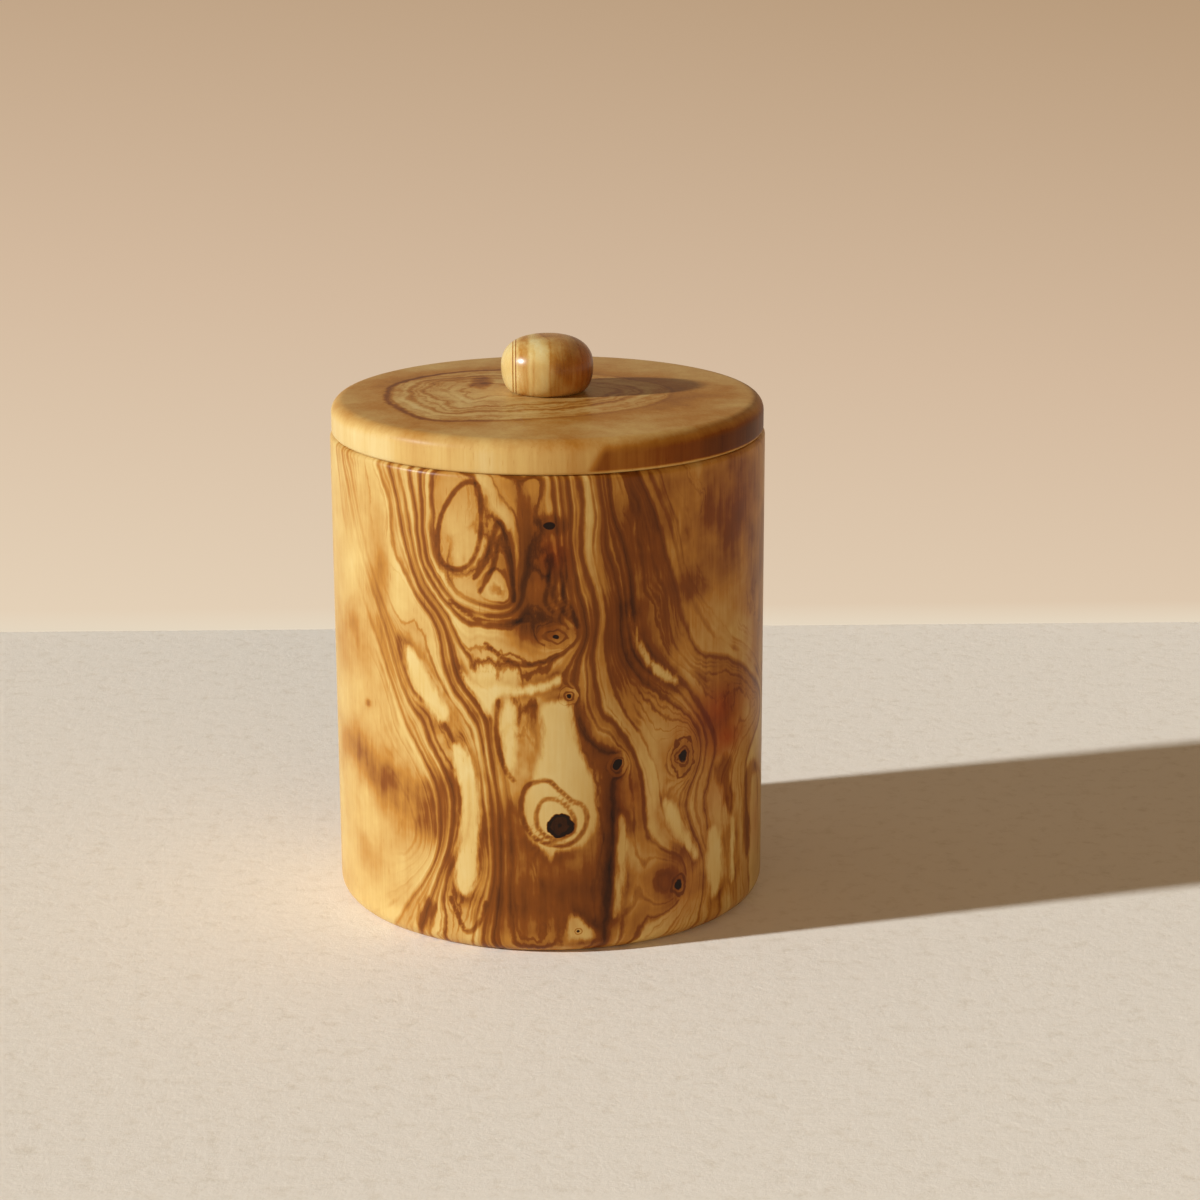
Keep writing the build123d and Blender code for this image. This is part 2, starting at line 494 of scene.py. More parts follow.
def make_olive_colour():
    """Olive wood from pale sapwood to near-black heart, with reddish places and fine fibres."""
    tree, given, end = start_group(
        "olive_colour",
        [
            ("Where", arrow, None),
            ("Darkness", number, 0.2),
            ("Redness", number, 0.0),
            ("Along Grain", arrow, None),
        ],
        [("Color", paint), ("Roughness", number), ("Height", number)],
    )
    fibre = noise(tree, given["Along Grain"], 1.6, 3.0, 0.6)
    cloud = noise(tree, given["Where"], 0.12, 3.0)
    pore = ease(tree, noise(tree, given["Along Grain"], 4.5, 1.0), 0.20, 0.30)
    dark = calc(tree, "MULTIPLY_ADD", fibre, 0.10, given["Darkness"])
    dark = calc(tree, "MULTIPLY_ADD", cloud, 0.10, dark, clamp=True)
    dark = calc(tree, "MULTIPLY_ADD", pore, 0.10, dark, clamp=True)
    shades = [
        (0.0, "#D9C58D"),
        (0.16, "#CDAA66"),
        (0.36, "#AF762E"),
        (0.56, "#7E4311"),
        (0.76, "#512809"),
        (1.0, "#1C0E06"),
    ]
    mix = {0: given["Redness"], 6: paint_ramp(tree, dark, shades), 7: srgb("#D88A50")}
    red = add_node(tree, "ShaderNodeMix", mix, data_type="RGBA", blend_type="MULTIPLY")
    rough = add_parts(tree, 0.38, [(fibre, 0.10), (pore, 0.15)])
    height = times(tree, given["Darkness"], 0.5)
    height = add_parts(tree, height, [(pore, -0.6), (fibre, 0.3)])
    feed(tree, end, {"Color": red.outputs[2], "Roughness": rough, "Height": height})
    return tree


growth_lines, knot_figure, olive_colour = make_growth_lines(), make_knot(), make_olive_colour()


def use_group(tree, group, links):
    """The results of a shader group, fed from sockets and plain values."""
    return add_node(tree, "ShaderNodeGroup", links, node_tree=group).outputs


def coat_wood(tree, shader, figure, specular, smoother=0.0, strength=0.25):
    """Gives a shader the colour, the sheen and the fine relief of oiled olive wood."""
    colour = use_group(tree, olive_colour, figure)
    rough = colour["Roughness"]
    feed(
        tree,
        shader,
        {
            "Base Color": colour["Color"],
            "Roughness": calc(tree, "SUBTRACT", rough, smoother) if smoother else rough,
            "Specular IOR Level": specular,
            "Normal": relief(tree, colour["Height"], strength, 0.1 * mm),
        },
    )


def read_field(tree, name):
    """A figure value that is kept on the corners of the piece's mesh."""
    return add_node(tree, "ShaderNodeAttribute", attribute_name=name).outputs["Fac"]


def in_millimetres(tree, stretch=(1, 1, 1)):
    """Object coordinates in mm, squeezed along an axis so that a noise runs out along it."""
    place = add_node(tree, "ShaderNodeTexCoord").outputs["Object"]
    scale = tuple(1000 * part for part in stretch)
    return add_node(tree, "ShaderNodeMapping", {"Vector": place, "Scale": scale}).outputs[0]


def smooth_line(points, closed=False, steps=4):
    """A smooth line through given places, with a few more points between each two."""
    places = np.array(points, float)
    if closed:
        places = np.vstack([places[-1], places, places[:2]])
    else:
        places = np.vstack([2 * places[0] - places[1], places, 2 * places[-1] - places[-2]])
    line = []
    for a, b, c, d in zip(places, places[1:], places[2:], places[3:]):
        for t in np.arange(steps) / steps:
            bend = 2 * a - 5 * b + 4 * c - d + t * (3 * (b - c) + d - a)
            line.append(b + 0.5 * t * (c - a + t * bend))
    if not closed:
        line.append(places[-2])
    return np.array(line)


reach_limit = 8.0


def distance_to(where, line, closed=False):
    """Distance in mm from each place to a line, or to a closed outline, negative inside it."""
    result = np.full(len(where), reach_limit)
    near = np.all((where > line.min(0) - reach_limit) & (where < line.max(0) + reach_limit), axis=1)
    spots = where[near]
    best = np.full(len(spots), reach_limit)
    inside = np.zeros(len(spots), bool)
    ends = np.roll(line, -1, axis=0) if closed else line[1:]
    for a, b in zip(line, ends):
        run = b - a
        share = np.clip((spots - a) @ run / (run @ run), 0, 1)
        best = np.minimum(best, np.hypot(*(spots - a - share[:, None] * run).T))
        level = (a[1] > spots[:, 1]) != (b[1] > spots[:, 1])
        crossing = a[0] + (spots[:, 1] - a[1]) * run[0] / (run[1] if run[1] else 1.0)
        inside ^= level & (spots[:, 0] < crossing)
    result[near] = np.where(inside & closed, -best, best)
    return result


def make_growth_field(lines, softness=4.0, block=8000):
    """A growth level for every place, from lines of known level.

    It is a sum of soft cones about the points of the lines, worked out block by block.
    """
    points = np.vstack([line for level, line in lines])
    levels = np.concatenate([np.full(len(line), float(level)) for level, line in lines])
    gaps = np.linalg.norm(points[:, None] - points[None], axis=2)
    cones = np.sqrt(gaps**2 + softness**2) + np.eye(len(points)) * -0.02
    weights = np.linalg.lstsq(cones, levels - levels.mean(), rcond=1e-9)[0]

    def field(where):
        level = np.empty(len(where))
        slope = np.empty((len(where), 3))
        for first in range(0, len(where), block):
            offset = where[first : first + block, None] - points[None]
            cone = np.sqrt((offset**2).sum(axis=2) + softness**2)
            level[first : first + block] = cone @ weights + levels.mean()
            slope[first : first + block] = ((weights / cone)[..., None] * offset).sum(axis=1)
        return level, slope

    return field


def corners_of(piece):
    """The places and the normals of a mesh's corners, in mm, as arrays."""
    mesh = piece.data
    places = np.empty(len(mesh.vertices) * 3)
    normals = np.empty(len(mesh.vertices) * 3)
    mesh.vertices.foreach_get("co", places)
    mesh.vertices.foreach_get("normal", normals)
    return places.reshape(-1, 3) / mm, normals.reshape(-1, 3)


def keep_field(piece, name, values):
    """Keeps one value for each corner of the mesh, where the shader can read it."""
    attribute = piece.data.attributes.new(name, "FLOAT", "POINT")
    attribute.data.foreach_set("value", np.asarray(values, np.float32))


def line_gap(slope, normals):
    """How far apart in mm the growth lines lie on the surface."""
    along = slope - (slope * normals).sum(axis=1)[:, None] * normals
    return 1 / np.maximum(np.linalg.norm(along, axis=1), 0.08)


# The figure on the wall of the jar, in mm: round the wall from the middle of the front, and up.
# Growth levels fall away to both sides of the front; the lines bend round the knots.
front_lines = [
    (0, [
        (-54, 93), (-50, 80), (-45, 70), (-40, 63), (-36, 56), (-33, 50), (-30, 44), (-26, 38),
        (-23, 32), (-22, 25), (-23, 18), (-27, 11), (-33, 3),
    ]),
    (2, [
        (-50, 93), (-46.5, 85), (-44, 78.5), (-41, 72.5), (-38, 67.5), (-35.5, 63), (-33.5, 58),
        (-31.5, 53), (-29, 48.5), (-25.5, 45), (-23.5, 40), (-21, 35.5), (-19.5, 31), (-19.3, 26),
        (-20.3, 20), (-22.5, 14), (-25, 8), (-27, 2),
    ]),
    (4, [
        (-42, 93), (-41, 86), (-39, 80), (-37.5, 74), (-34, 67), (-31, 63), (-27, 60), (-23.5, 56),
        (-20, 50), (-16.5, 45.5), (-14.5, 41), (-13.6, 36), (-13.2, 30), (-12.8, 24), (-12.5, 16),
        (-14.5, 10), (-16, 3),
    ]),
    (6, [
        (-33, 93), (-31, 88), (-29.5, 81), (-28, 76), (-25.5, 71), (-21.5, 66), (-19.5, 62),
        (-18.5, 57), (-17, 53), (-14, 49.5), (-12, 46), (-11.4, 41), (-10.7, 36), (-10, 30),
        (-9.6, 20), (-10, 12), (-11.5, 3),
    ]),
    (7, [
        (-30.5, 93), (-28.5, 85), (-27, 78), (-24.5, 71.5), (-20, 66.5), (-17.5, 62), (-15, 59.3),
        (-12, 57.2), (-8, 55.8), (-4, 55.3), (-0.5, 57), (2.5, 60), (4.8, 63.5), (4.6, 68),
        (3.6, 74), (3, 81), (2.8, 87), (2, 93),
    ]),
    (8, [
        (-27.5, 93), (-26, 84), (-25, 76), (-22, 71.5), (-19, 68), (-15, 65.5), (-10, 64.8),
        (-6, 65), (-2.5, 66), (1.0, 66.2), (3, 69), (2.3, 75), (1.8, 81), (1.0, 93),
    ]),
    (9, [
        (-25, 93), (-25, 84), (-24, 77), (-21, 72), (-18, 69), (-14, 67.4), (-10, 67), (-7, 67.6),
        (-5, 71), (-4.2, 78), (-4, 86), (-4.5, 93),
    ]),
    (10, [
        (-22.5, 93), (-22.6, 85), (-22, 78), (-20, 75), (-17, 74.2), (-13.5, 75.5), (-11, 79),
        (-9, 83.5), (-7.6, 80), (-6.8, 75), (-6.2, 70),
    ]),
    (6, [
        (3.5, 93), (4, 86), (4, 80), (5, 73), (6.3, 68), (6.8, 63), (5.5, 58), (4.6, 53), (5.2, 48),
        (7.5, 43.5), (10, 40), (11.5, 35), (12, 29), (12, 22), (11, 12), (10.5, 3),
    ]),
    (5, [
        (5.5, 93), (6.6, 85), (6.6, 78), (8.4, 71), (9, 65), (8.4, 60), (9, 54), (10.3, 48),
        (13.8, 43), (16, 38), (17.5, 32), (18.2, 25), (18, 16), (17, 5),
    ]),
    (4, [
        (8, 93), (9, 86), (8.6, 80), (10, 73), (11.3, 67), (11.2, 61), (12.5, 55), (15, 48.5),
        (18, 43), (20.5, 38), (22, 33), (23.2, 28),
    ]),
    (2.5, [
        (10, 93), (11, 86), (12.5, 80), (14, 74), (14.7, 68), (15.7, 62), (18, 57), (22, 53),
        (27, 49), (31, 44), (33, 38), (31.5, 32), (30, 27), (31, 20), (33, 13), (34, 4),
    ]),
    (1.5, [
        (13, 93), (15, 86), (16, 80), (17, 73), (19, 66), (21, 60), (24, 56), (29, 52), (33, 46.5),
        (36, 42), (39.5, 36), (37, 30), (36.5, 24), (38, 16), (40, 5),
    ]),
    (0.5, [
        (16, 93), (19, 86), (21, 78), (24, 70), (25, 64), (27.5, 58), (32, 54), (38, 52.5),
        (44, 50), (50, 46), (56, 42),
    ]),
    (-1, [(20, 93), (24, 82), (27, 72), (31, 64.5), (36, 58.5), (42, 55), (50, 50.5), (58, 44)]),
    (-2.5, [(28, 93), (33, 84), (38, 76.5), (45, 70), (55, 62), (64, 54)]),
    (0.5, [(44, 30), (45, 20), (45.5, 10), (46, 3)]),
    (-1, [(54, 31), (56, 20), (57, 10), (56, 3)]),
    (7, [(-4, 47), (-1, 40), (1, 33)]),
    (7, [(-3, 19), (0, 12), (1, 4)]),
]

# The lines on the sides and the back: level and place round the wall; they sway a little
side_lines = [(-8.5, 133.5), (-7, 114), (-5.6, 94), (-4, 76)]
side_lines += [(-7, -115), (-5.2, -96), (-3.4, -78), (-1.6, -62)]
side_sway = 2.6
for level, across in side_lines:
    heights = np.linspace(2, 93, 12)
    swayed = across + side_sway * np.sin(heights / 13 + level * 1.7)
    front_lines.append((level, list(zip(swayed, heights))))

# Knots: place, half width and half height, width of the core, rings, and lift of the level
knots = [
    (1.7, 26.2, 2.6, 2.4, 0.95, 1.2, 0.0),
    (27.0, 37.0, 3.4, 4.4, 0.20, 2.4, 2.0),
    (26.0, 11.0, 2.2, 2.4, 0.35, 1.3, 0.0),
    (13.0, 37.6, 2.0, 2.2, 0.35, 1.7, 1.0),
    (3.5, 51.6, 1.7, 1.7, 0.30, 1.8, 0.8),
    (0.3, 84.4, 1.2, 0.8, 0.9, 0.0, 0.0),
    (1.4, 63.2, 3.3, 2.1, 0.05, 1.7, 1.2),
    (5.0, 4.8, 1.1, 1.0, 0.25, 1.6, 0.0),
    (-100.0, 58.0, 5.5, 6.5, 0.35, 3.2, 3.0),
    (112.0, 33.0, 4.0, 5.0, 0.30, 2.6, 2.5),
    (-74.0, 22.0, 2.6, 3.0, 0.35, 2.2, 1.6),
    (84.0, 72.0, 2.2, 2.6, 0.30, 2.0, 1.4),
]

# Swirls that lift the level without a core: place, half sizes, lift
swirls = [(24.5, 12.8, 6, 7, 2.2), (-112, 24, 8, 14, 2.0), (128, 70, 9, 18, 2.5)]

# Soft brown clouds and reddish places: place, half sizes, strength
clouds = [
    (-34, 32, 8, 4.5, 0.27),
    (-27, 25.5, 8, 4.5, 0.33),
    (-45, 34, 10, 6, 0.16),
    (-41, 45, 0.9, 0.7, 0.3),
    (-47, 57, 8, 7, 0.14),
    (-42, 15, 8, 5, 0.06),
    (-1, 12, 10, 9.5, 0.60),
    (-7, 25, 3.6, 9, 0.32),
    (10, 20, 3, 14, 0.25),
    (-2, 77, 5, 16, 0.26),
    (0, 64, 9, 5, 0.20),
    (-3, 66, 6, 3, 0.2),
    (22, 78, 9, 22, 0.20),
    (17, 84, 4, 9, 0.20),
    (13, 66, 4, 16, 0.10),
    (42, 84, 12, 12, 0.26),
    (30, 70, 5, 3, 0.18),
    (55, 68, 14, 22, 0.20),
    (27, 37, 5, 6, 0.2),
    (24, 12, 7, 8, 0.24),
    (14, 30, 4, 8, 0.22),
    (16, 55, 3, 7, 0.18),
    (7, 45, 2, 4, 0.3),
    (40, 44, 9, 7, 0.26),
    (-36, 70, 3, 12, 0.14),
    (-26, 53, 3, 10, 0.06),
    (-18, 44, 3, 3, 0.16),
    (-100, 58, 9, 16, 0.2),
    (112, 33, 7, 16, 0.25),
    (128, 60, 12, 24, 0.15),
    (-125, 20, 12, 16, 0.18),
    (70, 25, 7, 18, 0.18),
    (13, 62, 9, 22, 0.10),
    (36, 82, 9, 13, 0.10),
    (24, 70, 7, 16, 0.06),
    (33, 56, 7, 6, 0.08),
    (33, 8, 8, 5, 0.08),
]
red_places = [
    (37, 44, 9, 6, 0.9),
    (38, 27, 5, 6, 0.4),
    (1, 79, 3, 4, 0.6),
    (40, 37, 6, 3, 0.7),
    (16, 31, 4, 5, 0.35),
    (54, 16, 4, 7, 0.5),
    (44, 84, 13, 10, 0.35),
    (26, 13, 6, 6, 0.25),
    (-100, 56, 6, 8, 0.4),
]

# Quiet wood, where the lines all but vanish
quiet_places = [
    (-66, 50, 18, 70, 0.9),
    (-42, 22, 15, 24, 1.3),
    (-54, 60, 12, 22, 0.8),
    (-40, 78, 9, 22, 0.55),
    (-27, 60, 7, 12, 0.35),
    (48, 80, 17, 16, 0.75),
    (34, 66, 7, 8, 0.5),
    (-1, 36, 7, 14, 1.2),
    (-14, 71.5, 5, 3, 0.7),
    (-17, 84, 5, 8, 1.0),
    (1, 12, 9, 9, 0.9),
    (22, 12, 9, 9, 0.45),
    (40, 15, 6, 12, 0.6),
    (96, 50, 10, 40, 0.4),
]

# Pale patches, dark patches and single dark lines, as listed
pale_patches = {
    "bell": [
        (-1.5, 50), (1.5, 51), (4.5, 49.5), (5, 44), (6.8, 39), (8.3, 33.5), (8.8, 27.5),
        (7.5, 23.5), (5, 21.3), (1.5, 20.6), (0, 18.4), (-1.2, 20.8), (-3.8, 22.6), (-5, 25),
        (-5.8, 29.5), (-4.2, 34), (-3, 37), (-2.6, 42), (-3.4, 46),
    ],
    "ribbon": [
        (-19.3, 41), (-17, 41.5), (-14.8, 38), (-13.8, 33), (-13.5, 27), (-14, 20), (-14.5, 14),
        (-16.5, 11), (-18.8, 12.5), (-19, 17), (-17.8, 24), (-17.6, 30), (-18.8, 36),
    ],
    "finger": [
        (-8, 51), (-6.6, 49.5), (-6, 45), (-6.2, 40), (-7.3, 35.5), (-9, 40), (-9.6, 45), (-9, 49),
    ],
    "slope": [
        (-30, 59.5), (-26, 57), (-22.5, 51.5), (-19.5, 47), (-21.5, 44.5), (-25, 48), (-28.5, 53),
    ],
    "shelf": [
        (-17.5, 56), (-14, 53.5), (-10, 53.8), (-5, 53.8), (-1, 54.5), (2, 56), (2, 54), (-5, 51.5),
        (-9, 51.6), (-11.5, 47.5), (-14.6, 51),
    ],
    "wedge": [(3, 3.2), (3.6, 8.6), (6, 7), (9.4, 3)],
    "strip": [(12.4, 26), (14.5, 27), (14.8, 18), (13.5, 9), (11.8, 7), (12, 16)],
    "panel": [(33.5, 20), (37, 20), (38.5, 14), (38, 8), (35, 6), (33.6, 11)],
    "sliver": [(41, 20), (42.5, 20), (42.8, 9), (41, 8)],
    "drift": [(22.5, 29), (25, 28), (28, 22), (31, 17), (30, 15), (26, 20), (23, 25)],
    "leaf": [
        (15, 68), (16.5, 66), (18.5, 60), (22, 56), (26, 52.4), (24, 51.8), (19.5, 55), (16.5, 60),
    ],
}
dark_patches = {
    "column": [
        (5.3, 49), (7, 44.5), (10, 42), (13, 40.5), (14, 36.5), (12.9, 32), (12.6, 27), (12, 19),
        (11.3, 10), (10.5, 3), (8, 3), (9.2, 10), (9.5, 18), (9.7, 24), (9.8, 30), (9, 36),
        (7.2, 41), (6, 45),
    ],
    "streak": [
        (-5.6, 92), (-3.2, 88), (-2.6, 80), (-3.2, 72), (-3.6, 64), (-5.6, 63.5), (-6.0, 72),
        (-5.8, 82),
    ],
    "scar": [
        (36, 33), (39, 34.5), (41.5, 33), (41, 28), (43, 25), (41.5, 21.5), (39, 24), (37.8, 28),
        (35.8, 29.5),
    ],
    "arch": [
        (46.5, 12), (46.8, 24), (48.5, 29.5), (53, 29.5), (58, 25), (54, 26.5), (50.5, 24.5),
        (50, 12),
    ],
    "tooth": [(-4.7, 50), (-2.4, 50.5), (-1.3, 46), (-2.0, 39.5), (-3.6, 45)],
    "hole": [(-3.2, 85.2), (-1, 86.6), (2.5, 86), (3.6, 84), (1.5, 82.6), (-1.2, 83.2)],
    "toe": [(-26, 9), (-23.5, 8), (-25, 4), (-27, 2), (-28, 4)],
}
closed_strokes = [
    [
        (-13, 91.3), (-12.6, 86), (-13.2, 80), (-15.5, 76), (-19, 75.4), (-21.3, 78), (-21, 84),
        (-18.5, 89), (-15.5, 92),
    ],
    [
        (-2.7, 28.5), (-1.7, 31), (0.6, 31.4), (2.8, 30), (4.4, 27.6), (4.2, 25), (2, 23.6),
        (-0.6, 23.9), (-2.4, 25.8),
    ],
    [
        (-5.6, 30), (-4.8, 33.4), (-2.8, 34.8), (-0.4, 35), (1.6, 33.2), (4, 31), (6.2, 29.8),
        (6.8, 27), (5.6, 24), (3, 22.2), (-0.4, 22.4), (-3.2, 23.8), (-5, 26.8),
    ],
]
open_strokes = [
    [(-9.8, 50.5), (-10.2, 45), (-9.5, 40), (-8.2, 36.5), (-7, 35)],
    [(-20, 10), (-18, 5.5), (-16.4, 3.6), (-14, 6), (-12.6, 10)],
    [(-14, 74), (-11.5, 78), (-9.2, 85), (-7.4, 79), (-6.6, 73)],
    [(-13, 71.5), (-10.5, 76), (-8.8, 82), (-7.2, 76), (-6.6, 70)],
    [(0.6, 79), (1.4, 75), (0.8, 71), (2.4, 68.4), (4.4, 66)],
    [(2.4, 80), (3, 75), (2.6, 71.5), (4.2, 68), (5.4, 65)],
    [(-0.6, 78), (0, 74), (-0.8, 70), (1, 67.6)],
    [(-19, 69), (-14, 66.2), (-9, 65.8), (-4, 66.4)],
    [(-12, 61.5), (-8, 58.5), (-3, 57.8), (1.5, 59.6)],
]


wall_radius = jar_radius / mm
wall_round = 2 * math.pi * wall_radius


def soft_spots(where, spots):
    """Sum of soft round spots, each with its place, half sizes and strength."""
    total = np.zeros(len(where))
    for across, up, half_width, half_height, strength in spots:
        offset = where - (across, up)
        offset[:, 0] -= wall_round * np.round(offset[:, 0] / wall_round)
        offset /= (half_width, half_height)
        total += strength * np.exp(-(offset**2).sum(axis=1))
    return total


def wrap_round(across, up, radius):
    """Places on the wall, in mm round it and up, as points of space."""
    angle = np.asarray(across) / radius
    return np.stack([radius * np.sin(angle), -radius * np.cos(angle), np.asarray(up)], axis=1)


def nearest_patch(where, outlines):
    """Distance to the nearest outline, negative inside it."""
    edges = [smooth_line(points, closed=True) for points in outlines]
    return np.min([distance_to(where, edge, closed=True) for edge in edges], axis=0)


def nearest_stroke(where):
    """Distance to the nearest of the single dark lines."""
    loops = [smooth_line(points, closed=True) for points in closed_strokes]
    lines = [np.vstack([loop, loop[:1]]) for loop in loops]
    lines += [smooth_line(points) for points in open_strokes]
    return np.min([distance_to(where, line) for line in lines], axis=0)


jar_lines = [
    (level, wrap_round(*smooth_line(points, steps=2).T, wall_radius))
    for level, points in front_lines
]
jar_field = make_growth_field(jar_lines)

# The drawn figure belongs to the wall, and fades out towards the middle of the floor:
# there is none within the first distance in mm from the axis, and all from the second further out
figure_start = 20.0
figure_depth = 16.0


def mark_jar(piece):
    """Keeps the figure of the wood on the corners of the jar's mesh."""
    places, normals = corners_of(piece)
    around = wall_radius * np.arctan2(places[:, 0], -places[:, 1])
    where = np.stack([around, places[:, 2]], axis=1)
    level, slope = jar_field(places)
    lifts = [spot[:4] + (spot[-1],) for spot in knots] + swirls
    keep_field(piece, "growth", level + soft_spots(where, lifts))
    keep_field(piece, "line_gap", line_gap(slope, normals))
    out = np.hypot(places[:, 0], places[:, 1])
    shell = np.clip((out - figure_start) / figure_depth, 0, 1)
    core = reach_limit * (1 - shell)
    keep_field(piece, "cloud", soft_spots(where, clouds) * shell)
    keep_field(piece, "redness", np.clip(soft_spots(where, red_places), 0, 1) * shell)
    keep_field(piece, "quiet", np.clip(soft_spots(where, quiet_places), 0, 1) * shell)
    keep_field(piece, "pale_edge", nearest_patch(where, pale_patches.values()) + core)
    keep_field(piece, "dark_edge", nearest_patch(where, dark_patches.values()) + core)
    keep_field(piece, "stroke", nearest_stroke(where) + core)


def make_jar_wood():
    """Olive wood with the figure of the jar: lines, patches, strokes, knots and soft clouds."""
    material, tree, shader = new_material("olive_wood_body")
    where = in_millimetres(tree)
    grain = in_millimetres(tree, (1, 1, 0.45))
    fibres = in_millimetres(tree, (1, 1, 0.06))
    growth, gap = read_field(tree, "growth"), read_field(tree, "line_gap")
    lines = use_group(tree, growth_lines, {"Where": grain, "Growth": growth, "Line Gap": gap})
    loud = calc(tree, "SUBTRACT", 1.0, read_field(tree, "quiet"), clamp=True)
    ragged = noise(tree, in_millimetres(tree, (1, 1, 0.28)), 0.75, 4.0, 0.6)
    patchy = noise(tree, where, 0.13, 3.0)
    pale_edge = calc(tree, "MULTIPLY_ADD", ragged, 2.6, read_field(tree, "pale_edge"))
    dark_edge = calc(tree, "MULTIPLY_ADD", ragged, 3.4, read_field(tree, "dark_edge"))
    pale = ease(tree, pale_edge, -1.1, 0.6, 1.0, 0.0)
    pale = times(tree, pale, calc(tree, "MULTIPLY_ADD", patchy, 1.0, 0.95))
    pale_halo = calc(tree, "SUBTRACT", ease(tree, pale_edge, 0.0, 3.0, 1.0, 0.0), pale)
    pale_halo = times(tree, pale_halo, ease(tree, patchy, -0.15, 0.2, 0.25, 1.0))
    dark = ease(tree, dark_edge, -1.1, 0.8, 1.0, 0.0)
    stroke = add_parts(tree, read_field(tree, "stroke"), [(noise(tree, where, 0.5, 3.0), 0.6)])
    stroke = ease(tree, stroke, 0.12, 0.75, 1.0, 0.0)
    stroke = times(tree, stroke, ease(tree, patchy, -0.2, 0.1, 0.55, 1.0))

    flat = add_node(tree, "ShaderNodeSeparateXYZ", {0: where}).outputs
    angle = calc(tree, "ARCTAN2", flat[0], times(tree, flat[1], -1.0))
    across = times(tree, angle, wall_radius)
    rings, cores, inside = 0.0, 0.0, 0.0
    knot_inputs = ("Centre Across", "Centre Up", "Half Width", "Half Height", "Core", "Rings")
    for knot in knots:
        links = {"Where": where, "Across": across, "Up": flat[2], **dict(zip(knot_inputs, knot))}
        found = use_group(tree, knot_figure, links)
        rings = calc(tree, "MAXIMUM", rings, found["Rings"])
        cores = calc(tree, "MAXIMUM", cores, found["Core"])
        inside = calc(tree, "MAXIMUM", inside, found["Inside"])

    # Lines and bands are weaker on pale patches, in knots and on both sides of the front
    covered = calc(tree, "MAXIMUM", times(tree, pale, 0.8), inside)
    plain = calc(tree, "SUBTRACT", 1.0, covered)
    soft_side = ease(tree, across, 14.0, 28.0, 1.0, 0.62)
    soft_side = calc(tree, "SUBTRACT", soft_side, ease(tree, across, -34.0, -22.0, 0.25, 0.0))
    soft_side = calc(tree, "ADD", soft_side, ease(tree, across, 60.0, 90.0, 0.0, 0.38))
    loud = times(tree, times(tree, loud, soft_side), plain)
    line_dark = times(tree, lines["Lines"], loud)
    band = times(tree, lines["Bands"], loud)
    streaks = noise(tree, in_millimetres(tree, (1, 1, 0.10)), 0.55, 4.0, 0.6)
    cloud = calc(tree, "MULTIPLY_ADD", streaks, 1.5, 1.0)
    cloud = times(tree, read_field(tree, "cloud"), cloud)
    cloud = times(tree, cloud, calc(tree, "MULTIPLY_ADD", patchy, 1.2, 1.0))

    parts = [(band, 0.17), (cloud, 1.0), (patchy, 0.22), (line_dark, 0.32)]
    total = add_parts(tree, 0.215, parts)
    total = times(tree, total, calc(tree, "MULTIPLY_ADD", pale, -0.55, 1.0))
    parts = [(pale_halo, 0.24), (dark, 0.26), (stroke, 0.42), (rings, 0.34)]
    total = add_parts(tree, total, parts)
    # Very dark places are held back, but for the cores of the knots
    over = calc(tree, "MAXIMUM", calc(tree, "SUBTRACT", total, 0.55), 0.0)
    total = add_parts(tree, total, [(over, -0.55), (cores, 0.80)])
    redness = read_field(tree, "redness")
    figure = {"Where": where, "Darkness": total, "Redness": redness, "Along Grain": fibres}
    coat_wood(tree, shader, figure, specular=0.18)
    return material


wood_material = make_jar_wood()
jar = turn_piece("turned_jar", jar_profile, round_turns, wood_material)
mark_jar(jar)
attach(jar, "jar")
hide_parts("jar_body")


# Lid: a crowned disc of olive wood cut across a branch, with a spigot turned below it.
# The spigot has a groove for the seal ring and a countersunk hole for the knob's screw.
lid_low, lid_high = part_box("lid")
ring_low, ring_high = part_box("seal_ring")
screw_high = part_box("knob_screw")[1]
knob_low, knob_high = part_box("knob")
lid_radius = lid_high.x
lid_crown = 0.8 * mm
lid_top_round = 2.6 * mm
lid_under_round = 0.7 * mm
lid_top = lid_high.z
lid_edge_top = lid_top - lid_crown
spigot_bottom = lid_low.z
spigot_gap = 0.6 * mm
spigot_radius = mouth_radius - spigot_gap
spigot_round = 0.8 * mm
ring_fin = 0.9 * mm
ring_band = 0.8 * mm
groove_gap = 0.15 * mm
groove_radius = ring_high.x - ring_fin - ring_band - groove_gap
groove_bottom = ring_low.z - groove_gap
groove_top = ring_high.z + groove_gap
screw_hole = 1.85 * mm
screw_head = screw_high.x
screw_sink = 0.3 * mm
knob_seat = 6.2 * mm

# The profile starts and ends at the same place in the screw's hole.
hole_start = (screw_hole, lid_top - 3 * mm)
lid_profile = [hole_start, (screw_hole, lid_top), (knob_seat, lid_top)]
crown_reach = lid_radius - lid_top_round
crown_steps = 8
for step in range(1, crown_steps + 1):
    share = step / crown_steps
    out = knob_seat + (crown_reach - knob_seat) * share
    lid_profile.append((out, lid_top - lid_crown * share**2))
lid_profile += arc((crown_reach, lid_edge_top - lid_top_round), lid_top_round, 90, 0)[1:]
under_centre = (lid_radius - lid_under_round, jar_height + lid_under_round)
lid_profile += arc(under_centre, lid_under_round, 0, -90, 4)
lid_profile += [(spigot_radius, jar_height), (spigot_radius, groove_top)]
lid_profile += [(groove_radius, groove_top), (groove_radius, groove_bottom)]
lid_profile += [(spigot_radius, groove_bottom)]
spigot_centre = (spigot_radius - spigot_round, spigot_bottom + spigot_round)
lid_profile += arc(spigot_centre, spigot_round, 0, -90, 4)
head_bottom = spigot_bottom + screw_sink
lid_profile += [(screw_head, spigot_bottom), (screw_head, head_bottom)]
